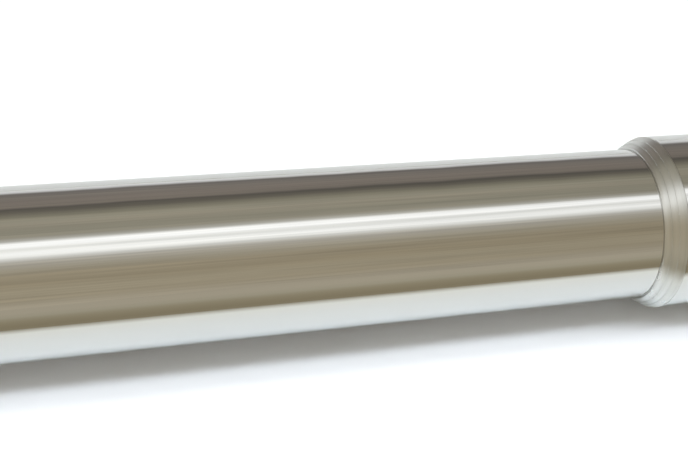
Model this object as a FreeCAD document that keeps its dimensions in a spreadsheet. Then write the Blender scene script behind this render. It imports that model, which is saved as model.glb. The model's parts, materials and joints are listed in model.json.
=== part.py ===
import FreeCAD, Part
import math
import os
import Sketcher

# Three-stage single-acting telescopic hydraulic cylinder, lying on its side.
# Millimetres. The cylinder's axis is X, +X is the way it extends, +Z is up,
# and the origin is the centre of the base block's cross pin bore.

DIMENSIONS = [
    # tubes
    ("barrel_outer", 169, "outside diameter of the barrel"),
    ("barrel_bore", 157, "inside diameter of the barrel"),
    ("barrel_start", 100, "where the barrel begins"),
    ("barrel_length", 900, "length of the barrel tube"),
    ("stage_1_outer", 149, "outside diameter of the first stage"),
    ("stage_1_bore", 137, "inside diameter of the first stage"),
    ("stage_1_start", 113, "inner end of the first stage when closed"),
    ("stage_1_length", 914, "length of the first stage tube"),
    ("stage_1_out", 130, "how far the first stage is out"),
    ("stage_2_outer", 129, "outside diameter of the second stage"),
    ("stage_2_bore", 117, "inside diameter of the second stage"),
    ("stage_2_start", 123, "inner end of the second stage when closed"),
    ("stage_2_length", 931, "length of the second stage tube"),
    ("stage_2_out", 700, "how far the second stage is out of the first"),
    ("plunger_outer", 110, "outside diameter of the plunger"),
    ("plunger_bore", 94, "inside diameter of the plunger"),
    ("plunger_start", 133, "inner end of the plunger when closed"),
    ("plunger_length", 955, "length of the plunger tube"),
    ("plunger_out", 60, "how far the plunger is out of the second stage"),
    # head of each outer tube
    ("counterbore_deeper", 2.5, "how much the mouth is bored out, on the radius"),
    ("counterbore_length", 52, "depth of the bored-out mouth"),
    ("sleeve_length", 45, "length of the head ring inside the mouth"),
    ("land_length", 2, "cylindrical part of the nose"),
    ("nose_length", 17, "whole length of the nose outside the tube"),
    ("nose_lip", 1.6, "thickness of the nose's front edge"),
    ("nose_step", 0.5, "height of the two small shoulders turned in the nose's taper"),
    ("contact_gap", 0.01, "gap between faces that bear on each other"),
    ("static_gap", 0.3, "gap between pieces screwed or pushed together"),
    ("head_gap", 0.4, "gap between a head ring and the tube in it"),
    ("running_gap", 0.06, "running clearance of guide rings and bushes"),
    ("wiper_start", -2, "wiper groove, from the tube's end"),
    ("wiper_width", 7, "width of the wiper groove"),
    ("wiper_depth", 4.6, "depth of the wiper groove"),
    ("wiper_heel", 0.8, "clearance behind the wiper's lip"),
    ("wiper_edge", 0.8, "wiper's front to its wiping edge"),
    ("wiper_face", 0.9, "clearance in front of the wiping edge"),
    ("wiper_lip", 2, "length of the wiper's lip"),
    ("seal_start", -17, "rod seal groove, from the tube's end"),
    ("seal_width", 9, "width of the rod seal groove"),
    ("seal_depth", 4, "depth of the rod seal groove"),
    ("lip_mouth", 0.9, "rod to the inner edge of the seal's notch"),
    ("lip_edge", 0.4, "clearance at the front of the seal's lip"),
    ("lip_length", 3, "length of the seal's lip"),
    ("lip_heel", 0.5, "clearance behind the seal's lip"),
    ("notch_top", 2.5, "rod to the outer edge of the seal's notch"),
    ("notch_depth", 3.5, "depth of the seal's notch"),
    ("notch_floor", 1.7, "rod to the bottom of the seal's notch"),
    ("guide_start", -42, "guide ring groove, from the tube's end"),
    ("guide_width", 20, "width of the guide ring groove"),
    ("guide_depth", 2.5, "depth of the guide ring groove"),
    ("o_ring_start", -6, "static seal groove, from the tube's end"),
    ("o_ring_width", 3, "width of the static seal groove"),
    ("o_ring_depth", 1.3, "depth of the static seal groove"),
    # foot of each moving tube
    ("lock_start", 3, "inner end to the lock ring"),
    ("lock_width", 4, "width of the lock ring"),
    ("bush_start", 7.5, "inner end to the foot bush"),
    ("bush_length", 60, "length of the foot bush"),
    ("stop_start", 68, "inner end to the stop ring"),
    ("stop_width", 5, "width of the stop ring"),
    ("ring_bite", 1.6, "how deep a ring sits in its groove"),
    ("ring_proud", 2.8, "how far a ring stands out of its groove"),
    ("ring_side_gap", 0.1, "gap on each side of a ring in its groove"),
    ("support_start", 3, "inner end to the inside support ring"),
    ("support_width", 5, "width of the inside support ring"),
    ("support_proud", 6.5, "how far the support ring stands into the bore"),
    # base block
    ("block_width", 169, "width of the block"),
    ("block_end", 78, "where the square part of the block ends"),
    ("block_chamfer", 7, "chamfer round both sides of the block"),
    ("spigot_length", 12, "length of the spigot in the barrel"),
    ("collar_step", 1, "how much smaller the block's collar is than the barrel"),
    ("collar_overlap", 4, "how far a turned collar runs into its forging"),
    ("cut_beyond", 5, "how far a cut runs past the surface"),
    ("weld_length", 8, "width of the weld bead"),
    ("weld_root", 80, "radius at the root of the weld"),
    ("weld_bevel", 1, "slope of the barrel's end at the weld"),
    ("weld_toe", 2.5, "slope at each side of the weld bead"),
    ("base_pin_diameter", 60, "bore of the base bush"),
    ("base_bush_outer", 70, "outside diameter of the base bush"),
    ("base_bush_length", 165, "length of the base bush"),
    ("port_x", 52, "oil port, from the pin bore"),
    ("port_diameter", 26.4, "oil port, three-quarter inch pipe thread"),
    ("port_depth", 24, "depth of the threaded part"),
    ("port_face_diameter", 46, "spot face round the port"),
    ("port_face_depth", 2, "depth of the spot face"),
    ("gallery_diameter", 18, "oil gallery along the block"),
    ("gallery_beyond", 3, "how far the gallery is drilled past the drop hole"),
    ("drop_diameter", 14, "drop hole from the port to the gallery"),
    ("spigot_hollow", 60, "opening of the gallery into the barrel"),
    ("spigot_hollow_depth", 20, "depth of that opening"),
    # rod eye
    ("eye_distance", 108, "plunger tube's end to the eye's centre"),
    ("eye_diameter", 132, "outside diameter of the eye"),
    ("eye_width", 52, "width of the eye"),
    ("eye_neck", 78, "diameter of the neck"),
    ("eye_collar", 32, "length of the full-diameter collar"),
    ("eye_weld", 4, "depth and half width of the weld groove behind the collar"),
    ("eye_weld_crown", 0.6, "how far that weld stands out"),
    ("eye_weld_flat", 1.5, "half width of its crown"),
    ("eye_cone", 22, "length of the cone behind the neck"),
    ("eye_spigot", 24, "length of the spigot in the plunger"),
    ("race_outer", 90, "outside diameter of the bearing race"),
    ("race_width", 36, "width of the bearing race"),
    ("ball_diameter", 80, "sphere diameter of the bearing"),
    ("ball_width", 44, "width of the bearing ball"),
    ("rod_pin_diameter", 60, "bore of the bearing ball"),
    ("snap_width", 2.5, "width of a snap ring"),
    ("snap_deep", 1.8, "depth of a snap ring's groove"),
    ("snap_inner", 82, "inside diameter of a snap ring"),
    ("snap_gap", 0.3, "bearing race to its snap ring"),
    ("foot_plug_start", 12, "plunger's inner end to the foot plug"),
    ("foot_plug_width", 18, "thickness of the foot plug"),
    ("plug_ring_start", 7, "plunger's inner end to the plug's snap ring"),
    ("plug_ring_width", 4, "width of the plug's snap ring"),
    ("plug_ring_proud", 5, "how far that ring stands into the bore"),
    ("plug_groove_start", 6, "plug's inner face to its seal groove"),
    ("plug_groove_width", 5, "width of the plug's seal groove"),
    ("plug_groove_depth", 3, "depth of the plug's seal groove"),
    # small fittings
    ("nipple_hex", 11, "across flats of a grease nipple"),
    ("nipple_hex_height", 6, "height of its hexagon"),
    ("nipple_neck", 6, "diameter of its neck"),
    ("nipple_height", 15, "whole height above its seat"),
    ("nipple_shank", 8, "diameter of its shank"),
    ("nipple_sunk", 8, "length of its shank"),
    ("nipple_bore", 3, "diameter of its grease passage"),
    ("nipple_seat", 0.2, "gap under its hexagon"),
    ("bleed_hex", 17, "across flats of the bleed screw"),
    ("bleed_height", 10, "height of the bleed screw's head"),
    ("bleed_x", 18, "plunger tube's end to the bleed screw"),
    ("bleed_shank", 12, "shank diameter of the bleed screw"),
    ("bleed_sunk", 14, "shank length of the bleed screw"),
    ("bleed_deeper", 1, "how much deeper its hole is"),
    ("bleed_seat", 2, "depth of the spot face under the bleed screw"),
    ("bleed_face", 24, "diameter of that spot face"),
]

TURN_AXIS = {"XZ_Plane": "H_Axis", "XY_Plane": "V_Axis"}

doc = FreeCAD.newDocument("telescopic_cylinder")
sheet = doc.addObject("Spreadsheet::Sheet", "dims")
for row, (alias, value, meaning) in enumerate(DIMENSIONS, start=1):
    sheet.set(f"A{row}", alias)
    sheet.set(f"B{row}", str(value))
    sheet.set(f"C{row}", meaning)
    sheet.setAlias(f"B{row}", alias)
doc.recompute()

made = []


def value_of(expression):
    """The number an expression of the sheet stands for."""
    return float(sheet.evalExpression(str(expression)))


def new_body(name, x="0", y="0", z="0"):
    """An empty body at a station that follows the sheet."""
    body = doc.addObject("PartDesign::Body", name)
    body.Label = name
    for axis, station in zip("xyz", (x, y, z)):
        if station != "0":
            body.setExpression(f"Placement.Base.{axis}", station)
    made.append(body)
    return body


def plane_of(body, role):
    """The body's own origin plane with that role."""
    return [feature for feature in body.Origin.OriginFeatures if feature.Role == role][0]


def new_sketch(body, name, role, offset="0"):
    """An empty sketch on one of the body's origin planes."""
    sketch = body.newObject("Sketcher::SketchObject", f"{body.Name}_{name}")
    sketch.AttachmentSupport = [(plane_of(body, role), "")]
    sketch.MapMode = "FlatFace"
    if offset != "0":
        sketch.setExpression("AttachmentOffset.Base.z", offset)
    return sketch


def add_distance(sketch, kind, geometry, point, expression):
    """Ties one coordinate of a sketch point to the sheet."""
    constraint = Sketcher.Constraint(kind, -1, 1, geometry, point, value_of(expression))
    index = sketch.addConstraint(constraint)
    sketch.setExpression(f"Constraints[{index}]", expression)


def add_polygon(sketch, points):
    """A closed outline whose corners all follow the sheet."""
    values = [(value_of(u), value_of(v)) for u, v in points]
    first = sketch.GeometryCount
    count = len(points)
    for index, (u, v) in enumerate(values):
        next_u, next_v = values[(index + 1) % count]
        start = FreeCAD.Vector(u, v, 0)
        end = FreeCAD.Vector(next_u, next_v, 0)
        sketch.addGeometry(Part.LineSegment(start, end), False)
    for index in range(count):
        following = first + (index + 1) % count
        sketch.addConstraint(Sketcher.Constraint("Coincident", first + index, 2, following, 1))
    for index, (u, v) in enumerate(points):
        add_distance(sketch, "DistanceX", first + index, 1, u)
        add_distance(sketch, "DistanceY", first + index, 1, v)


def add_circle(sketch, centre_u, centre_v, diameter):
    """A circle whose centre and diameter follow the sheet."""
    centre = FreeCAD.Vector(value_of(centre_u), value_of(centre_v), 0)
    normal = FreeCAD.Vector(0, 0, 1)
    index = sketch.addGeometry(Part.Circle(centre, normal, value_of(diameter) / 2), False)
    constraint = sketch.addConstraint(Sketcher.Constraint("Diameter", index, value_of(diameter)))
    sketch.setExpression(f"Constraints[{constraint}]", diameter)
    for kind, place in (("DistanceX", centre_u), ("DistanceY", centre_v)):
        if place == "0":
            on_axis = -2 if kind == "DistanceX" else -1
            sketch.addConstraint(Sketcher.Constraint("PointOnObject", index, 3, on_axis))
        else:
            add_distance(sketch, kind, index, 3, place)


def turn(body, sketch, cut=False):
    """Turns a sketch about the X axis (XZ plane) or the Y axis (XY plane)."""
    kind = "PartDesign::Groove" if cut else "PartDesign::Revolution"
    feature = body.newObject(kind, f"{sketch.Name}_{'cut' if cut else 'turned'}")
    feature.Profile = sketch
    role = sketch.AttachmentSupport[0][0].Role
    feature.ReferenceAxis = (sketch, [TURN_AXIS[role]])
    feature.Angle = 360
    sketch.Visibility = False
    return feature


def turned_body(name, points, x="0", y="0", z="0"):
    """A body turned about X from one outline of (x, radius) corners."""
    body = new_body(name, x, y, z)
    sketch = new_sketch(body, "section", "XZ_Plane")
    add_polygon(sketch, points)
    turn(body, sketch)
    return body


def ring(name, start, width, inner, outer, x):
    """A plain ring: axial start and width, inner and outer radius."""
    end = f"{start} + {width}"
    corners = [(start, inner), (start, outer), (end, outer), (end, inner)]
    return turned_body(name, corners, x)


def extrude(body, sketch, length, cut=False, both_ways=False, reverse=False):
    """Pads a sketch, or pockets it, to a length that follows the sheet."""
    kind = "PartDesign::Pocket" if cut else "PartDesign::Pad"
    feature = body.newObject(kind, f"{sketch.Name}_{'pocket' if cut else 'pad'}")
    feature.Profile = sketch
    feature.setExpression("Length", length)
    feature.Midplane = both_ways
    feature.Reversed = reverse
    sketch.Visibility = False
    return feature


def station(tube):
    """Where a tube's inner end is: its closed place and every stage that is out."""
    places = {
        "barrel": "dims.barrel_start",
        "stage_1": "dims.stage_1_start + dims.stage_1_out",
        "stage_2": "dims.stage_2_start + dims.stage_1_out + dims.stage_2_out",
        "plunger": "dims.plunger_start + dims.stage_1_out + dims.stage_2_out"
        " + dims.plunger_out",
    }
    return places[tube]


def head_pieces(tube, inside):
    """The head of a tube: its ring, and the seals that the next tube runs in."""
    outer = f"dims.{tube}_outer / 2"
    bore = f"dims.{tube}_bore / 2"
    rod = f"dims.{inside}_outer / 2"
    sleeve = f"{bore} + dims.counterbore_deeper - dims.static_gap"
    near = f"{rod} + dims.head_gap"
    lip = f"({near} + dims.nose_lip)"
    corners = [
        ("-dims.sleeve_length", near),
        ("-dims.sleeve_length", sleeve),
        ("dims.o_ring_start", sleeve),
        ("dims.o_ring_start", f"{sleeve} - dims.o_ring_depth"),
        ("dims.o_ring_start + dims.o_ring_width", f"{sleeve} - dims.o_ring_depth"),
        ("dims.o_ring_start + dims.o_ring_width", sleeve),
        ("dims.contact_gap", sleeve),
        ("dims.contact_gap", outer),
        ("dims.land_length", outer),
    ]
    for third in (1, 2):
        shoulder = f"dims.land_length + (dims.nose_length - dims.land_length) * {third} / 3"
        middle = f"{outer} - ({outer} - {lip}) * {third} / 3"
        corners += [
            (shoulder, f"{middle} + dims.nose_step / 2"),
            (shoulder, f"{middle} - dims.nose_step / 2"),
        ]
    corners += [("dims.nose_length", lip), ("dims.nose_length", near)]
    for kind in ("wiper", "seal", "guide"):
        start = f"dims.{kind}_start"
        end = f"{start} + dims.{kind}_width"
        depth = f"{rod} + dims.{kind}_depth"
        corners += [(end, near), (end, depth), (start, depth), (start, near)]
    mouth = f"{station(tube)} + dims.{tube}_length"
    turned_body(f"{tube}_head_ring", corners, mouth)

    gap = "dims.static_gap"
    ring(
        f"{tube}_o_ring",
        f"dims.o_ring_start + {gap}",
        f"dims.o_ring_width - 2 * {gap}",
        f"{sleeve} - dims.o_ring_depth + {gap}",
        sleeve,
        mouth,
    )
    running = f"{rod} + dims.running_gap"
    seal_start = f"dims.seal_start + {gap}"
    seal_end = f"dims.seal_start + dims.seal_width - {gap}"
    seal_top = f"{rod} + dims.seal_depth - {gap}"
    seal = [
        (seal_start, f"{running} + dims.lip_mouth"),
        (seal_start, f"{running} + dims.lip_edge"),
        (f"{seal_start} + dims.lip_length / 2", running),
        (f"{seal_start} + dims.lip_length", f"{running} + dims.lip_heel"),
        (seal_end, f"{running} + dims.lip_heel"),
        (seal_end, seal_top),
        (seal_start, seal_top),
        (seal_start, f"{running} + dims.notch_top"),
        (f"{seal_start} + dims.notch_depth", f"{running} + dims.notch_floor"),
    ]
    turned_body(f"{tube}_rod_seal", seal, mouth)
    wiper_start = f"dims.wiper_start + {gap}"
    wiper_end = f"dims.wiper_start + dims.wiper_width - {gap}"
    wiper_top = f"{rod} + dims.wiper_depth - {gap}"
    wiper = [
        (wiper_start, f"{running} + dims.wiper_heel"),
        (wiper_start, wiper_top),
        (wiper_end, wiper_top),
        (wiper_end, f"{running} + dims.wiper_face"),
        (f"{wiper_end} - dims.wiper_edge", running),
        (f"{wiper_end} - dims.wiper_lip", f"{running} + dims.wiper_heel"),
    ]
    turned_body(f"{tube}_wiper", wiper, mouth)
    ring(
        f"{tube}_guide_ring",
        f"dims.guide_start + {gap}",
        f"dims.guide_width - 2 * {gap}",
        running,
        f"{rod} + dims.guide_depth - {gap}",
        mouth,
    )


def foot_pieces(tube, around):
    """The foot of a moving tube: guide bush and the two rings that hold it."""
    outer = f"dims.{tube}_outer / 2"
    place = station(tube)
    gap = "dims.static_gap"
    bush_outer = f"dims.{around}_bore / 2 - dims.running_gap"
    ring(f"{tube}_foot_bush", "dims.bush_start", "dims.bush_length", f"{outer} + {gap}", bush_outer, place)
    for kind in ("lock", "stop"):
        ring(
            f"{tube}_{kind}_ring",
            f"dims.{kind}_start",
            f"dims.{kind}_width",
            f"{outer} - dims.ring_bite + {gap}",
            f"{outer} + dims.ring_proud",
            place,
        )


def outer_grooves(tube):
    """Corners along a moving tube's outside, with the grooves of its two foot rings."""
    outer = f"dims.{tube}_outer / 2"
    floor = f"{outer} - dims.ring_bite"
    corners = []
    for kind in ("lock", "stop"):
        start = f"dims.{kind}_start - dims.ring_side_gap"
        end = f"dims.{kind}_start + dims.{kind}_width + dims.ring_side_gap"
        corners += [(start, outer), (start, floor), (end, floor), (end, outer)]
    return corners


def inner_corners(tube):
    """Corners along a tube's inside, from its mouth back to its inner end."""
    bore = f"dims.{tube}_bore / 2"
    mouth = f"{bore} + dims.counterbore_deeper"
    length = f"dims.{tube}_length"
    step = f"{length} - dims.counterbore_length"
    corners = [(length, mouth), (step, mouth), (step, bore)]
    if tube != "barrel":
        start = "dims.support_start - dims.ring_side_gap"
        end = "dims.support_start + dims.support_width + dims.ring_side_gap"
        floor = f"{bore} + dims.ring_bite"
        corners += [(end, bore), (end, floor), (start, floor), (start, bore)]
    return corners


def stage(tube, around, inside):
    """A moving stage: tube, foot, support ring and head."""
    outer = f"dims.{tube}_outer / 2"
    bore = f"dims.{tube}_bore / 2"
    length = f"dims.{tube}_length"
    corners = [("0", bore), ("0", outer)]
    corners += outer_grooves(tube)
    corners += [(length, outer)]
    corners += inner_corners(tube)
    turned_body(f"{tube}_tube", corners, station(tube))
    foot_pieces(tube, around)
    ring(
        f"{tube}_support_ring",
        "dims.support_start",
        "dims.support_width",
        f"{bore} - dims.support_proud",
        f"{bore} + dims.ring_bite - dims.static_gap",
        station(tube),
    )
    head_pieces(tube, inside)


def chamfer_sides(body, last, size):
    """Chamfers the block's two side faces all round, but not where the barrel joins."""
    doc.recompute()
    side = value_of("dims.block_width") / 2
    names = []
    for index, edge in enumerate(last.Shape.Edges, start=1):
        points = [edge.valueAt(edge.FirstParameter), edge.valueAt(edge.LastParameter)]
        on_side = all(abs(abs(point.y) - side) < 0.01 for point in points)
        at_end = all(abs(point.x - value_of("dims.block_end")) < 0.01 for point in points)
        if on_side and not at_end:
            names.append(f"Edge{index}")
    chamfer = body.newObject("PartDesign::Chamfer", f"{body.Name}_chamfer")
    chamfer.Base = (last, names)
    chamfer.setExpression("Size", size)
    return chamfer


def base_block():
    """The forged end block: cross bore, collar and spigot, oil port and gallery."""
    body = new_body("base_block")
    half = "dims.block_width / 2"
    outline = new_sketch(body, "outline", "XZ_Plane")
    radius = value_of(half)
    end = value_of("dims.block_end")
    arc = Part.ArcOfCircle(
        Part.Circle(FreeCAD.Vector(0, 0, 0), FreeCAD.Vector(0, 0, 1), radius),
        math.pi / 2,
        math.pi * 3 / 2,
    )
    outline.addGeometry(arc, False)
    low_left = FreeCAD.Vector(0, -radius, 0)
    low_right = FreeCAD.Vector(end, -radius, 0)
    high_right = FreeCAD.Vector(end, radius, 0)
    high_left = FreeCAD.Vector(0, radius, 0)
    outline.addGeometry(Part.LineSegment(low_left, low_right), False)
    outline.addGeometry(Part.LineSegment(low_right, high_right), False)
    outline.addGeometry(Part.LineSegment(high_right, high_left), False)
    outline.addConstraint(Sketcher.Constraint("Coincident", 0, 3, -1, 1))
    outline.addConstraint(Sketcher.Constraint("Coincident", 0, 2, 1, 1))
    outline.addConstraint(Sketcher.Constraint("Coincident", 1, 2, 2, 1))
    outline.addConstraint(Sketcher.Constraint("Coincident", 2, 2, 3, 1))
    outline.addConstraint(Sketcher.Constraint("Coincident", 3, 2, 0, 1))
    outline.addConstraint(Sketcher.Constraint("Horizontal", 1))
    outline.addConstraint(Sketcher.Constraint("Horizontal", 3))
    outline.addConstraint(Sketcher.Constraint("Vertical", 2))
    outline.addConstraint(Sketcher.Constraint("PointOnObject", 0, 1, -2))
    outline.addConstraint(Sketcher.Constraint("PointOnObject", 0, 2, -2))
    size = outline.addConstraint(Sketcher.Constraint("Radius", 0, radius))
    outline.setExpression(f"Constraints[{size}]", half)
    add_distance(outline, "DistanceX", 2, 1, "dims.block_end")
    pad = extrude(body, outline, "dims.block_width", both_ways=True)
    chamfer_sides(body, pad, "dims.block_chamfer")

    collar = new_sketch(body, "collar", "XZ_Plane")
    spigot = "dims.barrel_bore / 2 - dims.static_gap"
    spigot_end = "dims.barrel_start + dims.spigot_length"
    collar_points = [
        ("dims.block_end - dims.collar_overlap", "0"),
        ("dims.block_end - dims.collar_overlap", "dims.barrel_outer / 2 - dims.collar_step"),
        ("dims.barrel_start - dims.contact_gap", "dims.barrel_outer / 2 - dims.collar_step"),
        ("dims.barrel_start - dims.contact_gap", spigot),
        (spigot_end, spigot),
        (spigot_end, "0"),
    ]
    add_polygon(collar, collar_points)
    turn(body, collar)

    cross = new_sketch(body, "cross_bore", "XZ_Plane")
    add_circle(cross, "0", "0", "dims.base_bush_outer + 2 * dims.running_gap")
    extrude(body, cross, "dims.block_width + 2 * dims.cut_beyond", cut=True, both_ways=True)

    hollow = new_sketch(body, "gallery", "XZ_Plane")
    hollow_start = f"{spigot_end} - dims.spigot_hollow_depth"
    gallery = "dims.gallery_diameter / 2"
    gallery_start = f"dims.port_x - {gallery} - dims.gallery_beyond"
    hollow_points = [
        (gallery_start, "0"),
        (gallery_start, gallery),
        (hollow_start, gallery),
        (hollow_start, "dims.spigot_hollow / 2"),
        (f"{spigot_end} + dims.cut_beyond", "dims.spigot_hollow / 2"),
        (f"{spigot_end} + dims.cut_beyond", "0"),
    ]
    add_polygon(hollow, hollow_points)
    turn(body, hollow, cut=True)

    drill_down(body, "spot_face", "dims.port_x", "dims.port_face_diameter", half, "dims.port_face_depth")
    deep = "dims.port_face_depth + dims.port_depth"
    drill_down(body, "port", "dims.port_x", "dims.port_diameter", half, deep)
    drill_down(body, "drop", "dims.port_x", "dims.drop_diameter", half, half)
    drill_back(body, "nipple_hole", "dims.nipple_shank + 2 * dims.static_gap", half)
    return body


def drill_down(body, name, x, diameter, top, depth):
    """A round hole from the top of a body straight down."""
    sketch = new_sketch(body, name, "XY_Plane", top)
    add_circle(sketch, x, "0", diameter)
    extrude(body, sketch, depth, cut=True)


def drill_back(body, name, diameter, reach):
    """A round hole along X from the rounded back end to the cross bore."""
    sketch = new_sketch(body, name, "YZ_Plane")
    add_circle(sketch, "0", "0", diameter)
    extrude(body, sketch, reach, cut=True)


def spherical_ring(name, arc_radius, half_width, wall_radius, x):
    """A bearing ring turned about Y, with one spherical and one straight wall."""
    body = new_body(name, x)
    sketch = new_sketch(body, "section", "XY_Plane")
    big = value_of(arc_radius)
    half = value_of(half_width)
    wall = value_of(wall_radius)
    angle = math.asin(half / big)
    reach = big * math.cos(angle)
    circle = Part.Circle(FreeCAD.Vector(0, 0, 0), FreeCAD.Vector(0, 0, 1), big)
    sketch.addGeometry(Part.ArcOfCircle(circle, -angle, angle), False)
    corners = [(reach, half), (wall, half), (wall, -half), (reach, -half)]
    for (u, v), (next_u, next_v) in zip(corners, corners[1:]):
        start = FreeCAD.Vector(u, v, 0)
        end = FreeCAD.Vector(next_u, next_v, 0)
        sketch.addGeometry(Part.LineSegment(start, end), False)
    sketch.addConstraint(Sketcher.Constraint("Coincident", 0, 3, -1, 1))
    sketch.addConstraint(Sketcher.Constraint("Coincident", 0, 2, 1, 1))
    sketch.addConstraint(Sketcher.Constraint("Coincident", 1, 2, 2, 1))
    sketch.addConstraint(Sketcher.Constraint("Coincident", 2, 2, 3, 1))
    sketch.addConstraint(Sketcher.Constraint("Coincident", 3, 2, 0, 1))
    sketch.addConstraint(Sketcher.Constraint("Horizontal", 1))
    sketch.addConstraint(Sketcher.Constraint("Vertical", 2))
    sketch.addConstraint(Sketcher.Constraint("Horizontal", 3))
    size = sketch.addConstraint(Sketcher.Constraint("Radius", 0, big))
    sketch.setExpression(f"Constraints[{size}]", arc_radius)
    add_distance(sketch, "DistanceY", 2, 1, half_width)
    low = sketch.addConstraint(Sketcher.Constraint("DistanceY", 2, 2, -1, 1, half))
    sketch.setExpression(f"Constraints[{low}]", half_width)
    add_distance(sketch, "DistanceX", 2, 1, wall_radius)
    turn(body, sketch)
    return body


def eye_ring(name, start, width, inner, outer):
    """A plain ring turned about the eye's cross axis."""
    body = new_body(name, EYE_X)
    sketch = new_sketch(body, "section", "XY_Plane")
    end = f"{start} + {width}"
    add_polygon(sketch, [(inner, start), (outer, start), (outer, end), (inner, end)])
    turn(body, sketch)
    return body


def rod_eye():
    """The plunger's end piece: spigot, collar, neck and eye for the bearing."""
    body = new_body("rod_eye", EYE_X)
    back = "-dims.eye_distance"
    collar_end = f"{back} + dims.eye_collar"
    cone_end = f"{collar_end} + dims.eye_cone"
    full = "dims.plunger_outer / 2"
    spigot = "dims.plunger_bore / 2 - dims.static_gap"
    neck = new_sketch(body, "neck", "XZ_Plane")
    corners = [
        (f"{back} - dims.eye_spigot", "0"),
        (f"{back} - dims.eye_spigot", spigot),
        (f"{back} + dims.contact_gap", spigot),
        (f"{back} + dims.contact_gap", f"{full} - dims.eye_weld"),
        (f"{back} + dims.eye_weld", full),
        (collar_end, full),
        (cone_end, "dims.eye_neck / 2"),
        ("-dims.race_outer / 2 - dims.collar_overlap", "dims.eye_neck / 2"),
        ("-dims.race_outer / 2 - dims.collar_overlap", "0"),
    ]
    add_polygon(neck, corners)
    turn(body, neck)

    disc = new_sketch(body, "eye", "XZ_Plane")
    add_circle(disc, "0", "0", "dims.eye_diameter")
    extrude(body, disc, "dims.eye_width", both_ways=True)

    seat = new_sketch(body, "seat", "XY_Plane")
    half = "dims.eye_width / 2 + dims.cut_beyond"
    bore = "dims.race_outer / 2 + dims.running_gap"
    groove = "dims.race_outer / 2 + dims.snap_deep"
    near = "dims.race_width / 2 + dims.snap_gap - dims.ring_side_gap"
    far = f"{near} + dims.snap_width + 2 * dims.ring_side_gap"
    low_near = f"-({near})"
    low_far = f"-({far})"
    seat_points = [
        ("0", f"-({half})"),
        (bore, f"-({half})"),
        (bore, low_far),
        (groove, low_far),
        (groove, low_near),
        (bore, low_near),
        (bore, near),
        (groove, near),
        (groove, far),
        (bore, far),
        (bore, half),
        ("0", half),
    ]
    add_polygon(seat, seat_points)
    turn(body, seat, cut=True)

    bleed_x = "dims.bleed_x - dims.eye_distance"
    drill_down(body, "bleed_face", bleed_x, "dims.bleed_face", full, "dims.bleed_seat")
    hole = "dims.bleed_shank + 2 * dims.static_gap"
    deep = "dims.bleed_seat + dims.bleed_sunk + dims.bleed_deeper"
    drill_down(body, "bleed_hole", bleed_x, hole, full, deep)

    nipple = new_sketch(body, "nipple_hole", "YZ_Plane")
    add_circle(nipple, "0", "0", "dims.nipple_shank + 2 * dims.static_gap")
    extrude(body, nipple, "dims.eye_diameter / 2 + dims.cut_beyond", cut=True, reverse=True)
    return body


def hexagon_piece(name, flats, head, shank, sunk, x, z, pitch, tip=None):
    """A hexagon head with a shank below it, and a grease tip above if asked for."""
    body = new_body(name, x, "0", z)
    body.Placement.Rotation = FreeCAD.Rotation(FreeCAD.Vector(0, 1, 0), pitch)
    outline = new_sketch(body, "head", "XY_Plane")
    corner = f"({flats}) / cos(30 deg) / 2"
    corners = []
    for step in range(6):
        turned = f"({30 + 60 * step} deg)"
        corners.append((f"{corner} * cos{turned}", f"{corner} * sin{turned}"))
    add_polygon(outline, corners)
    extrude(body, outline, head)
    stem = new_sketch(body, "shank", "XY_Plane")
    add_circle(stem, "0", "0", shank)
    extrude(body, stem, sunk, reverse=True)
    if tip:
        neck = new_sketch(body, "tip", "XY_Plane", head)
        add_circle(neck, "0", "0", tip)
        extrude(body, neck, f"dims.nipple_height - {head}")
        passage = new_sketch(body, "passage", "XY_Plane", "dims.nipple_height")
        add_circle(passage, "0", "0", "dims.nipple_bore")
        extrude(body, passage, f"dims.nipple_height + {sunk} + dims.cut_beyond", cut=True)
    return body


EYE_X = f"{station('plunger')} + dims.plunger_length + dims.eye_distance"

base_block()
bush_half = "dims.base_bush_length / 2"
base_bush = new_body("base_bush")
bush_section = new_sketch(base_bush, "section", "XY_Plane")
bush_points = [
    ("dims.base_pin_diameter / 2", f"-{bush_half}"),
    ("dims.base_bush_outer / 2", f"-{bush_half}"),
    ("dims.base_bush_outer / 2", bush_half),
    ("dims.base_pin_diameter / 2", bush_half),
]
add_polygon(bush_section, bush_points)
turn(base_bush, bush_section)

barrel_radius = "dims.barrel_outer / 2"
barrel_corners = [
    ("0", "dims.barrel_bore / 2"),
    ("0", "dims.weld_root - dims.static_gap"),
    ("dims.weld_length - dims.weld_bevel", "dims.weld_root - dims.static_gap"),
    ("dims.weld_length", barrel_radius),
    ("dims.barrel_length", barrel_radius),
]
barrel_corners += inner_corners("barrel")
turned_body("barrel_tube", barrel_corners, station("barrel"))
weld_points = [
    ("dims.ring_side_gap", "dims.weld_root"),
    ("dims.ring_side_gap", f"{barrel_radius} - dims.collar_step"),
    ("dims.weld_toe", barrel_radius),
    ("dims.weld_length - dims.weld_toe", barrel_radius),
    ("dims.weld_length - dims.weld_bevel - 2 * dims.ring_side_gap", "dims.weld_root"),
]
turned_body("base_weld", weld_points, station("barrel"))
head_pieces("barrel", "stage_1")

stage("stage_1", "barrel", "stage_2")
stage("stage_2", "stage_1", "plunger")

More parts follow.
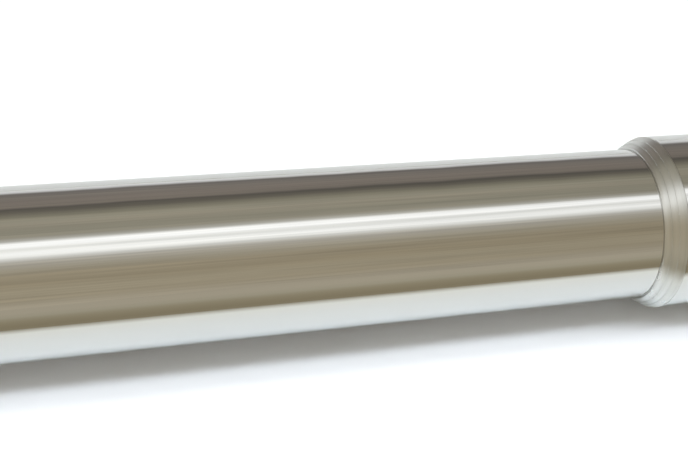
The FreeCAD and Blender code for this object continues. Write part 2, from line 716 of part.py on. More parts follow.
plunger_radius = "dims.plunger_outer / 2"
plunger_bore = "dims.plunger_bore / 2"
plunger_corners = [("0", plunger_bore), ("0", plunger_radius)]
plunger_corners += outer_grooves("plunger")
ring_groove_start = "dims.plug_ring_start - dims.ring_side_gap"
ring_groove_end = "dims.plug_ring_start + dims.plug_ring_width + dims.ring_side_gap"
plunger_corners += [
    ("dims.plunger_length - dims.eye_weld", plunger_radius),
    ("dims.plunger_length", f"{plunger_radius} - dims.eye_weld"),
    ("dims.plunger_length", plunger_bore),
    (ring_groove_end, plunger_bore),
    (ring_groove_end, f"{plunger_bore} + dims.ring_bite"),
    (ring_groove_start, f"{plunger_bore} + dims.ring_bite"),
    (ring_groove_start, plunger_bore),
]
turned_body("plunger_tube", plunger_corners, station("plunger"))
foot_pieces("plunger", "stage_2")
plug_radius = f"{plunger_bore} - dims.static_gap"
plug_end = "dims.foot_plug_start + dims.foot_plug_width"
groove_start = "dims.foot_plug_start + dims.plug_groove_start"
groove_end = f"{groove_start} + dims.plug_groove_width"
groove_floor = f"{plug_radius} - dims.plug_groove_depth"
plug_corners = [
    ("dims.foot_plug_start", "0"),
    ("dims.foot_plug_start", plug_radius),
    (groove_start, plug_radius),
    (groove_start, groove_floor),
    (groove_end, groove_floor),
    (groove_end, plug_radius),
    (plug_end, plug_radius),
    (plug_end, "0"),
]
turned_body("plunger_foot_plug", plug_corners, station("plunger"))
ring(
    "plunger_plug_o_ring",
    f"{groove_start} + dims.static_gap",
    "dims.plug_groove_width - 2 * dims.static_gap",
    f"{groove_floor} + dims.static_gap",
    plug_radius,
    station("plunger"),
)
ring(
    "plunger_plug_ring",
    "dims.plug_ring_start",
    "dims.plug_ring_width",
    f"{plunger_bore} - dims.plug_ring_proud",
    f"{plunger_bore} + dims.ring_bite - dims.static_gap",
    station("plunger"),
)
weld_floor = f"{plunger_radius} - dims.eye_weld + dims.static_gap"
eye_weld = [
    ("dims.plunger_length - dims.static_gap", weld_floor),
    ("dims.plunger_length - dims.eye_weld + dims.static_gap", f"{plunger_radius} - dims.static_gap"),
    ("dims.plunger_length - dims.eye_weld_flat", f"{plunger_radius} + dims.eye_weld_crown"),
    ("dims.plunger_length + dims.eye_weld_flat", f"{plunger_radius} + dims.eye_weld_crown"),
    ("dims.plunger_length + dims.eye_weld - dims.static_gap", f"{plunger_radius} - dims.static_gap"),
    ("dims.plunger_length + dims.static_gap", weld_floor),
]
turned_body("rod_eye_weld", eye_weld, station("plunger"))
rod_eye()
spherical_ring(
    "rod_eye_race",
    "dims.ball_diameter / 2 + dims.running_gap",
    "dims.race_width / 2",
    "dims.race_outer / 2",
    EYE_X,
)
spherical_ring(
    "rod_eye_ball",
    "dims.ball_diameter / 2",
    "dims.ball_width / 2",
    "dims.rod_pin_diameter / 2",
    EYE_X,
)
snap_outer = "dims.race_outer / 2 + dims.snap_deep - dims.static_gap"
snap_near = "dims.race_width / 2 + dims.snap_gap"
eye_ring("snap_ring_left", snap_near, "dims.snap_width", "dims.snap_inner / 2", snap_outer)
snap_far = f"-({snap_near} + dims.snap_width)"
eye_ring("snap_ring_right", snap_far, "dims.snap_width", "dims.snap_inner / 2", snap_outer)

hexagon_piece(
    "base_grease_nipple",
    "dims.nipple_hex",
    "dims.nipple_hex_height",
    "dims.nipple_shank",
    "dims.nipple_sunk",
    "-dims.block_width / 2 - dims.nipple_seat",
    "0",
    -90,
    "dims.nipple_neck",
)
hexagon_piece(
    "rod_eye_grease_nipple",
    "dims.nipple_hex",
    "dims.nipple_hex_height",
    "dims.nipple_shank",
    "dims.nipple_sunk",
    f"{EYE_X} + dims.eye_diameter / 2 + dims.nipple_seat",
    "0",
    90,
    "dims.nipple_neck",
)
hexagon_piece(
    "bleed_screw",
    "dims.bleed_hex",
    "dims.bleed_height",
    "dims.bleed_shank",
    "dims.bleed_sunk",
    f"{EYE_X} - dims.eye_distance + dims.bleed_x",
    "dims.plunger_outer / 2 - dims.bleed_seat + 2 * dims.contact_gap",
    0,
)

doc.recompute()
for thing in doc.Objects:
    if "Invalid" in thing.State or "Error" in thing.State:
        raise RuntimeError(f"{thing.Name} did not compute: {thing.State}")

os.makedirs("parts", exist_ok=True)
for body in made:
    shape = body.Shape
    if shape.isNull() or not shape.isValid() or shape.Volume <= 0:
        raise RuntimeError(f"{body.Name} has no valid solid")
    shape.exportStep(f"parts/{body.Name}.step")
    print(f"{body.Name:24s} {shape.Volume / 1000:10.1f} cm3 {len(shape.Solids)} solid {shape.BoundBox}")
print(len(made), "nodes")
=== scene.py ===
import json
import math

import bmesh
import bpy
from mathutils import Matrix, Vector


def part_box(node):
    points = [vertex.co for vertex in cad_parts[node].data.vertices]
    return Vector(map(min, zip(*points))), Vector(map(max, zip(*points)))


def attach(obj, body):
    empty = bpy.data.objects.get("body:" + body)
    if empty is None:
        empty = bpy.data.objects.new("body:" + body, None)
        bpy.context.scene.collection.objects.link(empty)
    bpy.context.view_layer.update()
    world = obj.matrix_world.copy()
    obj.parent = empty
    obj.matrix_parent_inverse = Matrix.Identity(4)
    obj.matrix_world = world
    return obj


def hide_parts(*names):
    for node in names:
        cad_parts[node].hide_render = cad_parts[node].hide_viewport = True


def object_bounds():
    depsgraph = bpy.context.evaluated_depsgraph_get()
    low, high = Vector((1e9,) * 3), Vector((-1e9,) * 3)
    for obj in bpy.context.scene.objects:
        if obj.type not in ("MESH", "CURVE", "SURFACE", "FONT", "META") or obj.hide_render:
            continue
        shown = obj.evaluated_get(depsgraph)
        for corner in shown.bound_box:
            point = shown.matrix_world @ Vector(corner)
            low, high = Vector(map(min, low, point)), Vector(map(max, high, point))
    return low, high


# The part's own sizes are in millimetres, as in its drawing. MM turns them into metres.
MM = 0.001

# Steps round a turned piece.
SEGMENTS = 256

# Tubes: outer radius, bore radius, radius of the tube that runs in it.
TUBES = {
    "barrel": (84.5, 78.5, 74.5),
    "stage_1": (74.5, 68.5, 64.5),
    "stage_2": (64.5, 58.5, 55.0),
}
PLUNGER_OUTER = 55.0
PLUNGER_BORE = 47.0

# The mouth of each tube and the head ring in it.
COUNTERBORE_DEEPER = 2.5
COUNTERBORE_LENGTH = 52
SLEEVE = 45
LAND = 2
NOSE = 17
LIP = 1.6
NOSE_STEP = 0.5
SHOULDERS = 2
HEAD_GAP = 0.4
STATIC_GAP = 0.3
FACE_GAP = 0.02
CHAMFER = 0.3
ROUNDING = 0.1

# Where the barrel and the plunger are cut back for the welds.
BASE_WELD_LENGTH = 8
BASE_WELD_ROOT = 79.7
BASE_WELD_BEVEL = 1
EYE_WELD = 4

# Weld beads: body, radius at the root, radius at the toes, crown height, ripples round the seam,
# how far the bead runs out over the tube.
WELDS = {
    "base_weld": ("barrel", 79.8, 83.0, 1.35, 96, 0.4),
    "rod_eye_weld": ("plunger", 50.5, 54.4, 1.1, 70, 0),
}

# Thread of the oil port.
THREAD_PITCH = 1.814
THREAD_TURNS = 12
THREAD_WALL = 13.25
THREAD_CREST = 12.4
THREAD_SUNK = 2.6

# The floor is a white sheet. Glossy rays see it only up to this far in front of the part; beyond that they
# see a painted reflection, a glow that stands in for the room's floor and changes colour over SHEET_FADE (m).
FLOOR_SIZE = 14.0
SHEET_EDGE = 0.216
SHEET_SOFTNESS = 0.05
SHEET_FADE = 0.9
SHEET_COLOUR = (0.845, 0.865, 0.905)

# Painted reflection: the sheet's colours as only glossy rays see them, darker than SHEET_COLOUR, from
# SHEET_EDGE behind the part (0) to SHEET_EDGE in front (1).
SHEET_PAINTED_REFLECTION = [
    (0.0, (0.6, 0.62, 0.63)),
    (0.45, (0.6, 0.62, 0.63)),
    (0.5, (0.78, 0.82, 0.86)),
    (0.65, (0.76, 0.81, 0.85)),
    (0.8, (0.72, 0.755, 0.775)),
    (1.0, (0.69, 0.70, 0.67)),
]

# Painted reflection: the glow that glossy rays see on the floor in place of the room's floor, from the
# sheet's edge (0) to SHEET_FADE beyond it (1).
ROOM_FLOOR_PAINTED_REFLECTION = [
    (0.0, (0.33, 0.29, 0.2)),
    (0.07, (0.31, 0.265, 0.175)),
    (0.2, (0.36, 0.315, 0.215)),
    (0.45, (0.46, 0.42, 0.315)),
    (1.0, (0.5, 0.45, 0.345)),
]

# The room by direction about the part's long axis, in degrees: 0 is level on the camera's side,
# 90 is straight up and 180 is level on the far side.
ROOM = [
    # the camera's side
    (-30, (0.5, 0.45, 0.345)),
    (2, (0.48, 0.43, 0.33)),
    (12, (0.43, 0.375, 0.27)),
    (22, (0.445, 0.39, 0.28)),
    (32, (0.385, 0.33, 0.23)),
    (42, (0.405, 0.35, 0.25)),
    (50, (0.45, 0.41, 0.32)),
    (57, (0.53, 0.5, 0.43)),
    # two rows of strip lights
    (60.5, (0.66, 0.64, 0.58)),
    (63.5, (0.9, 0.9, 0.86)),
    (66.5, (1.2, 1.21, 1.18)),
    (69.5, (1.36, 1.37, 1.35)),
    (74, (1.06, 1.07, 1.04)),
    (76, (1.08, 1.09, 1.06)),
    (78.5, (1.42, 1.43, 1.42)),
    (82.5, (1.42, 1.43, 1.42)),
    # overhead
    (86, (0.62, 0.61, 0.56)),
    (91, (0.4, 0.375, 0.3)),
    (98, (0.345, 0.325, 0.255)),
    (109, (0.405, 0.37, 0.29)),
    (114, (0.395, 0.37, 0.29)),
    (120, (0.3, 0.28, 0.215)),
    # the dark far side, with a pale band just above level
    (128, (0.175, 0.16, 0.13)),
    (134, (0.125, 0.115, 0.1)),
    (138, (0.245, 0.215, 0.185)),
    (148, (0.27, 0.235, 0.205)),
    (158, (0.25, 0.225, 0.2)),
    (168, (0.2, 0.185, 0.175)),
    (171.5, (0.6, 0.6, 0.59)),
    (175, (0.86, 0.87, 0.87)),
]

# Extra light that only dull surfaces receive, by the same angle: from the strip lights, and softly
# from above.
STRIP_POWER = 13.0
STRIP_LIGHT = [
    (68.6, (0, 0, 0)),
    (69.6, (0.94, 1.0, 1.07)),
    (76.0, (0.94, 1.0, 1.07)),
    (77.0, (0, 0, 0)),
    (83.5, (0, 0, 0)),
    (84.5, (0.36, 0.35, 0.34)),
    (90.5, (0.36, 0.35, 0.34)),
    (91.5, (0, 0, 0)),
]
SOFT_POWER = 0.55
SOFT_LIGHT = [
    (20, (0, 0, 0)),
    (60, (0.62, 0.6, 0.57)),
    (120, (0.62, 0.6, 0.57)),
    (160, (0, 0, 0)),
]

# The camera's heading in degrees, and its place (m): ahead of the first stage's head ring, aside and up.
YAW, PITCH, ROLL = -19.21, 42.68, 8.61
CAMERA_AHEAD, CAMERA_ASIDE, CAMERA_HEIGHT = 0.3285, 0.4762, 0.4692
LENS = 43.76
SHIFT = -0.15


# ---------------------------------------------------------------- node helpers
def new_material(name):
    """A node material, its tree and its principled shader."""
    material = bpy.data.materials.new(name)
    material.use_nodes = True
    tree = material.node_tree
    return material, tree, tree.nodes["Principled BSDF"]


def add(tree, kind, **values):
    """Adds a shader node; a key that names an input sets it, any other sets the node."""
    node = tree.nodes.new(kind)
    for key, value in values.items():
        if key in node.inputs:
            node.inputs[key].default_value = value
        else:
            setattr(node, key, value)
    return node


def math_node(tree, operation, first, second, third=None, clamp=False):
    """A Math node whose inputs are sockets or numbers."""
    node = add(tree, "ShaderNodeMath", operation=operation, use_clamp=clamp)
    for index, value in enumerate((first, second, third)):
        if value is None:
            continue
        if isinstance(value, (int, float)):
            node.inputs[index].default_value = value
        else:
            tree.links.new(value, node.inputs[index])
    return node.outputs[0]


def scaled(tree, value, by, plus):
    """A value times a number, plus a number or a socket."""
    return math_node(tree, "MULTIPLY_ADD", value, by, plus)


def rising(tree, value, start, gain):
    """0 up to start, then a straight rise to 1 at this gain."""
    return math_node(tree, "MULTIPLY_ADD", value, gain, -gain * start, clamp=True)


def ramp(tree, factor, stops):
    """A colour ramp from (position, colour) stops."""
    node = add(tree, "ShaderNodeValToRGB")
    elements = node.color_ramp.elements
    while len(elements) > 1:
        elements.remove(elements[-1])
    elements[0].position = stops[0][0]
    elements[0].color = (*stops[0][1], 1)
    for position, colour in stops[1:]:
        element = elements.new(position)
        element.color = (*colour, 1)
    tree.links.new(factor, node.inputs[0])
    return node.outputs[0]


def noise(tree, vector, scale, detail=4.0, roughness=0.55):
    """Noise texture on a vector."""
    node = add(tree, "ShaderNodeTexNoise", Scale=scale, Detail=detail, Roughness=roughness)
    tree.links.new(vector, node.inputs["Vector"])
    return node.outputs["Fac"]


def stretched_noise(tree, vector, scales, detail):
    """Noise with a scale of its own along each axis."""
    node = add(tree, "ShaderNodeMapping", Scale=scales)
    tree.links.new(vector, node.inputs["Vector"])
    return noise(tree, node.outputs["Vector"], 1.0, detail)


def object_point(tree):
    """The point in the object's own space."""
    return add(tree, "ShaderNodeTexCoord").outputs["Object"]


def surface_normal(tree):
    """The surface's own normal."""
    return add(tree, "ShaderNodeNewGeometry").outputs["Normal"]


def rounded_normal(tree, radius, samples):
    """The normal with its sharp edges rounded off."""
    return add(tree, "ShaderNodeBevel", samples=samples, Radius=radius).outputs["Normal"]


def mix_colour(tree, factor, first, second):
    """Mixes two colours, each a socket or a tuple, by a factor socket."""
    node = add(tree, "ShaderNodeMix", data_type="RGBA")
    tree.links.new(factor, node.inputs[0])
    for socket, value in ((node.inputs[6], first), (node.inputs[7], second)):
        if isinstance(value, tuple):
            socket.default_value = (*value, 1)
        else:
            tree.links.new(value, socket)
    return node.outputs[2]


def bump(tree, height, strength, distance, base=None):
    """A bump from a height socket, on top of another normal if one is given."""
    node = add(tree, "ShaderNodeBump", Strength=strength, Distance=distance)
    tree.links.new(height, node.inputs["Height"])
    if base:
        tree.links.new(base, node.inputs["Normal"])
    return node.outputs["Normal"]


# ---------------------------------------------------------------- materials
def chrome_material():
    """Polished hard chrome: fine draw lines, a faint waviness and a few dull patches."""
    material, tree, shader = new_material("chrome_tube")
    point = object_point(tree)
    lines = stretched_noise(tree, point, (3, 260, 260), detail=3.0)
    cloud = noise(tree, point, scale=6.0)
    wave = stretched_noise(tree, point, (2.2, 7, 7), detail=2.0)
    colour = mix_colour(tree, cloud, (0.64, 0.64, 0.63), (0.69, 0.685, 0.67))
    tree.links.new(colour, shader.inputs["Base Color"])
    shader.inputs["Metallic"].default_value = 1.0
    rough = scaled(tree, lines, by=0.03, plus=0.012)
    rough = scaled(tree, cloud, by=0.02, plus=rough)
    tree.links.new(rough, shader.inputs["Roughness"])
    low = bump(tree, wave, strength=0.4, distance=0.0016)
    tree.links.new(bump(tree, lines, 0.06, 0.0002, low), shader.inputs["Normal"])
    return material


def turned_material(name, colour, rough):
    """Turned steel: fine rings about the axis and a satin sheen."""
    material, tree, shader = new_material(name)
    point = object_point(tree)
    rings = stretched_noise(tree, point, (2600, 6, 6), detail=2.0)
    cloud = noise(tree, point, scale=22.0, detail=5.0)
    light = tuple(min(1.0, c * 1.12) for c in colour)
    dark = tuple(c * 0.86 for c in colour)
    tree.links.new(mix_colour(tree, cloud, dark, light), shader.inputs["Base Color"])
    shader.inputs["Metallic"].default_value = 1.0
    tree.links.new(scaled(tree, cloud, by=0.16, plus=rough - 0.08), shader.inputs["Roughness"])
    tree.links.new(bump(tree, rings, strength=0.35, distance=0.00015), shader.inputs["Normal"])
    return material


def nose_material():
    """Turned nose: broad and fine rings left by the tool, brighter and rougher than the tubes."""
    material, tree, shader = new_material("turned_nose")
    point = object_point(tree)
    fine = stretched_noise(tree, point, (2400, 5, 5), detail=2.0)
    broad = stretched_noise(tree, point, (340, 3, 3), detail=3.0)
    smear = stretched_noise(tree, point, (60, 26, 26), detail=4.0)
    tones = [(0.3, (0.56, 0.56, 0.54)), (0.5, (0.66, 0.655, 0.635)), (0.7, (0.74, 0.735, 0.72))]
    tone = ramp(tree, broad, tones)
    tree.links.new(mix_colour(tree, smear, tone, (0.66, 0.67, 0.66)), shader.inputs["Base Color"])
    shader.inputs["Metallic"].default_value = 1.0
    tree.links.new(scaled(tree, smear, by=0.22, plus=0.2), shader.inputs["Roughness"])
    low = bump(tree, broad, strength=0.5, distance=0.0005)
    tree.links.new(bump(tree, fine, 0.35, 0.00015, low), shader.inputs["Normal"])
    return material


def worn_edges(tree, rounded, fleck):
    """1 where paint is rubbed through to the steel: in flecks along sharp edges."""
    facing = add(tree, "ShaderNodeVectorMath", operation="DOT_PRODUCT")
    tree.links.new(rounded, facing.inputs[0])
    tree.links.new(surface_normal(tree), facing.inputs[1])
    turned_away = math_node(tree, "SUBTRACT", 1.0, facing.outputs["Value"])
    least, most = 0.012, 0.07
    edges = rising(tree, turned_away, least, 1 / (most - least))
    chipped = rising(tree, fleck, start=0.44, gain=6.0)
    return math_node(tree, "MULTIPLY", edges, chipped)


def settled_dust(tree, fleck):
    """Dust that has settled on faces turned upwards."""
    up = add(tree, "ShaderNodeSeparateXYZ")
    tree.links.new(surface_normal(tree), up.inputs[0])
    upward = rising(tree, up.outputs["Z"], start=0.44, gain=0.5)
    return math_node(tree, "MULTIPLY", upward, fleck)


def scuff_lines(tree, point):
    """Thin scuffs along the part, in patches."""
    scuffs = stretched_noise(tree, point, (7, 330, 330), detail=3.0)
    patches = noise(tree, point, scale=5.0, detail=3.0)
    line = rising(tree, scuffs, start=0.69, gain=14.0)
    where = rising(tree, patches, start=0.5, gain=5.0)
    visible = math_node(tree, "MULTIPLY", line, where)
    return math_node(tree, "MULTIPLY", visible, 0.4)


def paint_material(name, colour):
    """Satin paint: orange peel, dust on top, thin scuffs along the part and edges rubbed to the steel."""
    material, tree, shader = new_material(name)
    point = object_point(tree)
    peel = noise(tree, point, scale=420.0, detail=2.0)
    cloud = noise(tree, point, scale=9.0, detail=6.0)
    fleck = noise(tree, point, scale=130.0, detail=5.0, roughness=0.7)
    rounded = rounded_normal(tree, radius=0.0016, samples=6)

    faded = ramp(tree, cloud, [(0.35, (0, 0, 0)), (0.8, (1, 1, 1))])
    tone = mix_colour(tree, faded, colour, tuple(c + 0.03 for c in colour))
    dust = settled_dust(tree, fleck)
    tone = mix_colour(tree, dust, tone, (0.17, 0.16, 0.145))
    tone = mix_colour(tree, scuff_lines(tree, point), tone, (0.16, 0.16, 0.16))
    bare = worn_edges(tree, rounded, fleck)
    tree.links.new(mix_colour(tree, bare, tone, (0.3, 0.29, 0.275)), shader.inputs["Base Color"])
    tree.links.new(bare, shader.inputs["Metallic"])
    rough = scaled(tree, cloud, by=0.2, plus=0.28)
    rough = scaled(tree, dust, by=0.35, plus=rough)
    tree.links.new(rough, shader.inputs["Roughness"])
    shader.inputs["Coat Weight"].default_value = 0.15
    tree.links.new(bump(tree, peel, 0.12, 0.0002, rounded), shader.inputs["Normal"])
    return material


def dull_material(name, colour, rough, scale=60.0, metal=0.0):
    """Rubber, resin, bronze or plated steel: mottled colour and a grainy surface."""
    material, tree, shader = new_material(name)
    point = object_point(tree)
    grain = noise(tree, point, scale * 12, detail=3.0)
    cloud = noise(tree, point, scale, detail=5.0)
    light = tuple(min(1.0, c * 1.25 + 0.005) for c in colour)
    dark = tuple(c * 0.75 for c in colour)
    tree.links.new(mix_colour(tree, cloud, dark, light), shader.inputs["Base Color"])
    shader.inputs["Metallic"].default_value = metal
    tree.links.new(scaled(tree, grain, by=0.16, plus=rough - 0.08), shader.inputs["Roughness"])
    rounded = rounded_normal(tree, radius=0.0005, samples=4)
    tree.links.new(bump(tree, grain, 0.3, 0.0003, rounded), shader.inputs["Normal"])
    return material


def all_materials():
    """One material for each of the part's slots, and one for the noses."""
    return {
        "chrome_tube": chrome_material(),
        "turned_steel": turned_material("turned_steel", (0.6, 0.595, 0.58), 0.32),
        "turned_nose": nose_material(),
        "barrel_paint": paint_material("barrel_paint", (0.03, 0.031, 0.033)),
        "weld_bead": paint_material("weld_bead", (0.04, 0.04, 0.042)),
        "bronze": dull_material("bronze", (0.55, 0.33, 0.13), 0.34, 40, 1.0),
        "seal_rubber": dull_material("seal_rubber", (0.015, 0.015, 0.016), 0.55),
        "guide_plastic": dull_material("guide_plastic", (0.26, 0.07, 0.03), 0.5),
        "spring_steel": turned_material("spring_steel", (0.2, 0.2, 0.22), 0.38),
        "plain_steel": turned_material("plain_steel", (0.45, 0.45, 0.45), 0.4),
        "bearing_steel": turned_material("bearing_steel", (0.5, 0.5, 0.51), 0.22),
        "zinc_steel": dull_material("zinc_steel", (0.62, 0.58, 0.45), 0.3, 90, 1.0),
    }


def paint_nodes(frame, materials):
    """Gives every CAD piece the material of its slot."""
    slots = {row["node"]: row["material_slot"] for row in frame["record"]["subparts"]}
    for name, node in frame["nodes"].items():
        node.data.materials.clear()
        node.data.materials.append(materials[slots[name]])
        for polygon in node.data.polygons:
            polygon.material_index = 0


# ---------------------------------------------------------------- meshes
def place_mesh(name, build, body, material, angle, replaced=None):
    """Makes a bmesh an object that rides on a body, with sharp edges past an angle in degrees."""
    bmesh.ops.recalc_face_normals(build, faces=build.faces)
    for face in build.faces:
        face.smooth = True
    for edge in build.edges:
        if edge.is_manifold and edge.calc_face_angle(0) > math.radians(angle):
            edge.smooth = False
    mesh = bpy.data.meshes.new(name)
    build.to_mesh(mesh)
    build.free()
    thing = bpy.data.objects.new(name, mesh)
    bpy.context.scene.collection.objects.link(thing)
    mesh.materials.append(material)
    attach(thing, body)
    if replaced:
        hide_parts(replaced)


def around_x(build, x, radius, angle):
    """A vertex at this x and radius, turned by an angle about the part's axis."""
    return build.verts.new((x * MM, radius * math.cos(angle) * MM, radius * math.sin(angle) * MM))


def join_rows(build, rows):
    """Faces between each row of vertices and the next, closed both ways."""
    for row, following in zip(rows, rows[1:] + rows[:1]):
        for step, vertex in enumerate(row):
            across = (step + 1) % len(row)
            build.faces.new((vertex, row[across], following[across], following[step]))


def lathe(name, profile, body, replaced, material, angle=28):
    """A ring turned about X from a closed profile of (x, radius) corners."""
    build = bmesh.new()
    turns = [2 * math.pi * step / SEGMENTS for step in range(SEGMENTS)]
    join_rows(build, [[around_x(build, x, radius, turn) for turn in turns] for x, radius in profile])
    place_mesh(name, build, body, material, angle, replaced)


def ends(node):
    """Where a CAD piece begins and ends along X."""
    low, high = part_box(node)
    return low[0] / MM, high[0] / MM


def tube_look(tube, outer, bore, materials):
    """A tube with its bored-out mouth. The barrel's inner end is bevelled for the base weld."""
    first, last = ends(f"{tube}_tube")
    mouth = bore + COUNTERBORE_DEEPER
    profile = [
        (first, bore), (first, outer), (last, outer), (last, mouth),
        (last - COUNTERBORE_LENGTH, mouth), (last - COUNTERBORE_LENGTH, bore),
    ]
    slot = "chrome_tube"
    if tube == "barrel":
        slot = "barrel_paint"
        weld = first + BASE_WELD_LENGTH
        profile[1:2] = [(first, BASE_WELD_ROOT), (weld - BASE_WELD_BEVEL, BASE_WELD_ROOT), (weld, outer)]
    lathe(f"{tube}_tube_look", profile, tube, f"{tube}_tube", materials[slot])


def head_look(tube, outer, bore, rod, materials):
    """The head ring: a sleeve in the tube's mouth and a nose that tapers in small shoulders to a thin lip."""
    last = ends(f"{tube}_tube")[1]
    near = rod + HEAD_GAP / 4
    sleeve = bore + COUNTERBORE_DEEPER - STATIC_GAP
    land = last + LAND
    tip = last + NOSE
    lip = near + LIP
    profile = [
        (last - SLEEVE, near), (last - SLEEVE, sleeve), (last + FACE_GAP, sleeve),
        (last + FACE_GAP, outer - CHAMFER), (last + CHAMFER, outer), (land - 2 * CHAMFER, outer),
        (land - 2 * ROUNDING, outer - ROUNDING), (land + 2 * ROUNDING, outer - CHAMFER),
    ]
    for step in range(1, SHOULDERS + 1):
        share = step / (SHOULDERS + 1)
        shoulder = land + (NOSE - LAND) * share
        middle = outer - (outer - lip) * share
        profile += [
            (shoulder - CHAMFER, middle + NOSE_STEP / 2 + ROUNDING),
            (shoulder, middle + NOSE_STEP / 2 - ROUNDING),
            (shoulder, middle - NOSE_STEP / 2),
        ]
    profile += [
        (tip - CHAMFER - 2 * ROUNDING, lip + ROUNDING), (tip - ROUNDING, lip - CHAMFER),
        (tip, lip - 2 * CHAMFER), (tip, near),
    ]
    nose = materials["turned_nose"]
    lathe(f"{tube}_head_look", profile, tube, f"{tube}_head_ring", nose, 20)


def plunger_look(materials):
    """The plunger's tube, chamfered at the rod eye's weld."""
    first, last = ends("plunger_tube")
    profile = [
        (first, PLUNGER_BORE), (first, PLUNGER_OUTER), (last - EYE_WELD, PLUNGER_OUTER),
        (last, PLUNGER_OUTER - EYE_WELD), (last, PLUNGER_BORE),
    ]
    chrome = materials["chrome_tube"]
    lathe("plunger_tube_look", profile, "plunger", "plunger_tube", chrome)


def weld_row(first, last, root, toe, crown, ripples, angle):
    """The bead's (x, radius) outline at one place on the seam."""
    across = 14
    crescent, ripple_height = 2.2, 0.16
    wander = 0.18 * math.sin(5 * angle) + 0.12 * math.sin(13 * angle + 1)
    row = []
    for index in range(across + 1):
        share = index / across
        side = 2 * share - 1
        phase = ripples * angle + crescent * side * side
        height = crown * (1 - side * side) + ripple_height * crown * math.cos(phase) * (1 - side ** 4)
        row.append((first + (last - first) * share + wander * (1 - side * side), toe + height))
    return row + [(last, root), (first, root)]


def weld_bead(node, material, body, root, toe, crown, ripples, beyond):
    """A ring-shaped weld bead with the crescent ripples a welder leaves."""
    first, last = ends(node)
    build = bmesh.new()
    rows = []
    steps = ripples * 8
    for step in range(steps):
        angle = 2 * math.pi * step / steps
        outline = weld_row(first, last + beyond, root, toe, crown, ripples, angle)
        rows.append([around_x(build, x, radius, angle) for x, radius in outline])
    join_rows(build, rows)
    place_mesh(f"{node}_look", build, body, material, 50, node)


def port_thread(frame, material):
    """The pipe thread's ridges inside the oil port."""
    port = next(mount for mount in frame["record"]["mounts"] if mount["name"] == "oil_port")
    centre = Vector((port["pos_m"][0], 0, 0))
    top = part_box("base_block")[1][2] - THREAD_SUNK * MM
    pitch = THREAD_PITCH * MM
    steps, half_ridge = 48, 0.45
    section = ((-half_ridge, THREAD_WALL * MM), (0.0, THREAD_CREST * MM), (half_ridge, THREAD_WALL * MM))
    build = bmesh.new()
    rows = []
    for step in range(THREAD_TURNS * steps + 1):
        angle = 2 * math.pi * step / steps
        height = top - pitch * step / steps
        row = []
        for offset, radius in section:
            place = Vector((radius * math.cos(angle), radius * math.sin(angle), height + offset * pitch))
            row.append(build.verts.new(centre + place))
        rows.append(row)
    for row, following in zip(rows, rows[1:]):
        for index in range(len(section) - 1):
            build.faces.new((row[index], row[index + 1], following[index + 1], following[index]))
    place_mesh("port_thread", build, "barrel", material, 20)


# ---------------------------------------------------------------- stage and light
def mix_shaders(tree, factor, first, second, output):
    """Sends a mix of two shaders to an output node."""
    mix = add(tree, "ShaderNodeMixShader")
    tree.links.new(factor, mix.inputs[0])
    tree.links.new(first, mix.inputs[1])
    tree.links.new(second, mix.inputs[2])
    tree.links.new(mix.outputs[0], output.inputs["Surface"])


def floor_material():
    """White sheet. Glossy rays see it in painted reflection colours, and past its edge in front of the part a
    painted glow stands in for the room's floor.
    """
    material, tree, shader = new_material("floor")
    shader.inputs["Roughness"].default_value = 0.9
    shader.inputs["Specular IOR Level"].default_value = 0.1
    split = add(tree, "ShaderNodeSeparateXYZ")
    tree.links.new(object_point(tree), split.inputs[0])
    across = split.outputs["Y"]
    in_front = math_node(tree, "GREATER_THAN", across, 0.0)
    reach = math_node(tree, "MULTIPLY", across, in_front)
    # painted reflection: an emission that only glossy rays see, past the sheet's edge, in place of the room's
    # floor
    painted_reflection_glow = add(tree, "ShaderNodeEmission")
    beyond = rising(tree, reach, SHEET_EDGE, 1 / SHEET_FADE)
    tree.links.new(ramp(tree, beyond, ROOM_FLOOR_PAINTED_REFLECTION), painted_reflection_glow.inputs["Color"])
    mirrored = add(tree, "ShaderNodeLightPath").outputs["Is Glossy Ray"]
    along = rising(tree, across, -SHEET_EDGE, 0.5 / SHEET_EDGE)
    # painted reflection: glossy rays see the sheet in other, darker colours than its own
    sheet_with_painted_reflection = mix_colour(tree, mirrored, SHEET_COLOUR, ramp(tree, along, SHEET_PAINTED_REFLECTION))
    tree.links.new(sheet_with_painted_reflection, shader.inputs["Base Color"])
    edge = rising(tree, reach, SHEET_EDGE - SHEET_SOFTNESS / 2, 1 / SHEET_SOFTNESS)
    factor = math_node(tree, "MULTIPLY", edge, mirrored)
    mix_shaders(tree, factor, shader.outputs[0], painted_reflection_glow.outputs[0], tree.nodes["Material Output"])
    return material


def stage_floor(height):
    """A large white floor under the part."""
    mesh = bpy.data.meshes.new("floor")
    corners = [(x * FLOOR_SIZE, y * FLOOR_SIZE, height) for x, y in ((-1, -1), (1, -1), (1, 1), (-1, 1))]
    mesh.from_pydata(corners, [], [(0, 1, 2, 3)])
    floor = bpy.data.objects.new("floor", mesh)
    bpy.context.scene.collection.objects.link(floor)
    mesh.materials.append(floor_material())


def bands(tree, turn, table):
    """A colour by the angle about the part's axis, from a table in degrees."""
    return ramp(tree, turn, [(degrees / 360 + 0.5, colour) for degrees, colour in table])


def background(tree, colour, strength):
    """A world shader from a colour socket and a strength socket."""
    node = add(tree, "ShaderNodeBackground")
    tree.links.new(colour, node.inputs["Color"])
    tree.links.new(strength, node.inputs["Strength"])
    return node.outputs[0]


def sum_shaders(tree, first, second):
    """Two shaders added together."""
    node = add(tree, "ShaderNodeAddShader")
    tree.links.new(first, node.inputs[0])
    tree.links.new(second, node.inputs[1])
    return node.outputs[0]


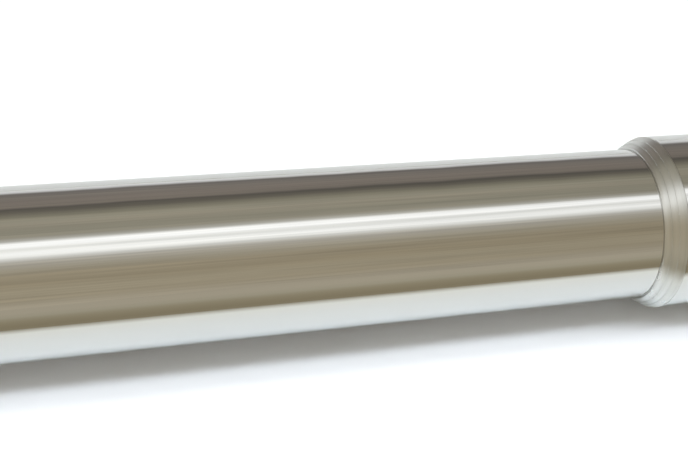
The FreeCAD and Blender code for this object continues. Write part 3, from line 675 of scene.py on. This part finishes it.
def room_shader(tree, direction, along, turn):
    """The room's bands, wandering a little on the far side, with streaks along the part."""
    far_side = rising(tree, turn, start=0.79, gain=14.0)
    drift = stretched_noise(tree, direction, (5.0, 0.01, 0.01), detail=3.0)
    drift = scaled(tree, drift, by=0.034, plus=-0.017)
    wandering = math_node(tree, "MULTIPLY_ADD", drift, far_side, turn)
    place = add(tree, "ShaderNodeCombineXYZ")
    tree.links.new(math_node(tree, "MULTIPLY", turn, 150.0), place.inputs[0])
    tree.links.new(math_node(tree, "MULTIPLY", along, 2.5), place.inputs[1])
    streaks = noise(tree, place.outputs[0], scale=1.0, detail=4.0, roughness=0.65)
    shade = ramp(tree, streaks, [(0.3, (0.86, 0.86, 0.86)), (0.5, (1, 1, 1)), (0.7, (1.13, 1.12, 1.1))])
    product = add(tree, "ShaderNodeVectorMath", operation="MULTIPLY")
    tree.links.new(bands(tree, wandering, ROOM), product.inputs[0])
    tree.links.new(shade, product.inputs[1])
    return background(tree, product.outputs[0], scaled(tree, along, by=0.16, plus=1.02))


def sky():
    """The room as light and reflection; the camera itself sees plain white."""
    world = bpy.data.worlds.new("room")
    bpy.context.scene.world = world
    world.use_nodes = True
    tree = world.node_tree
    tree.nodes.clear()
    direction = add(tree, "ShaderNodeTexCoord").outputs["Generated"]
    split = add(tree, "ShaderNodeSeparateXYZ")
    tree.links.new(direction, split.inputs[0])
    along, across, up = split.outputs
    angle = math_node(tree, "ARCTAN2", up, across)
    turn = scaled(tree, angle, by=1 / (2 * math.pi), plus=0.5)
    light = room_shader(tree, direction, along, turn)
    path = add(tree, "ShaderNodeLightPath")
    for table, power in ((STRIP_LIGHT, STRIP_POWER), (SOFT_LIGHT, SOFT_POWER)):
        strength = math_node(tree, "MULTIPLY", path.outputs["Is Diffuse Ray"], power)
        light = sum_shaders(tree, light, background(tree, bands(tree, turn, table), strength))
    white = add(tree, "ShaderNodeBackground", Color=(1, 1, 1, 1))
    output = add(tree, "ShaderNodeOutputWorld")
    mix_shaders(tree, path.outputs["Is Camera Ray"], light, white.outputs[0], output)


def camera():
    """The camera, at the photograph's viewing angle."""
    yaw, pitch, roll = (math.radians(angle) for angle in (YAW, PITCH, ROLL))
    look = Vector((math.sin(yaw) * math.cos(pitch), -math.cos(yaw) * math.cos(pitch), -math.sin(pitch)))
    right = look.cross(Vector((0, 0, 1))).normalized()
    up = right.cross(look)
    tilted_right = math.cos(roll) * right + math.sin(roll) * up
    tilted_up = -math.sin(roll) * right + math.cos(roll) * up
    data = bpy.data.cameras.new("camera")
    data.lens = LENS
    data.sensor_width = 36
    data.shift_x = SHIFT
    data.clip_start = 0.01
    data.clip_end = 100
    thing = bpy.data.objects.new("camera", data)
    bpy.context.scene.collection.objects.link(thing)
    turned_axes = Matrix((tilted_right, tilted_up, -look)).transposed()
    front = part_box("stage_1_head_ring")[1][0]
    place = Vector((front + CAMERA_AHEAD, CAMERA_ASIDE, CAMERA_HEIGHT))
    thing.matrix_world = Matrix.Translation(place) @ turned_axes.to_4x4()
    bpy.context.scene.camera = thing


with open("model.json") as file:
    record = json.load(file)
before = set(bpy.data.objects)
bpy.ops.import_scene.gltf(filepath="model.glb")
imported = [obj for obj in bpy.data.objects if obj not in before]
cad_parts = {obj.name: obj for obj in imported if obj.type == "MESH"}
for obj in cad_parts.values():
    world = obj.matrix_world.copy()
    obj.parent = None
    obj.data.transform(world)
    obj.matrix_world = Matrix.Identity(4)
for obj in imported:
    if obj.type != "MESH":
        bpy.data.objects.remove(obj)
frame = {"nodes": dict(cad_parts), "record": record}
start_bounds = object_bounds()

materials = all_materials()
paint_nodes(frame, materials)
for tube, (outer, bore, rod) in TUBES.items():
    tube_look(tube, outer, bore, materials)
    head_look(tube, outer, bore, rod, materials)
plunger_look(materials)
for node, weld in WELDS.items():
    weld_bead(node, materials["weld_bead"], *weld)
port_thread(frame, materials["plain_steel"])

stage_floor(start_bounds[0][2])
sky()
camera()
scene = bpy.context.scene
scene.view_settings.view_transform = "Standard"
scene.view_settings.look = "None"
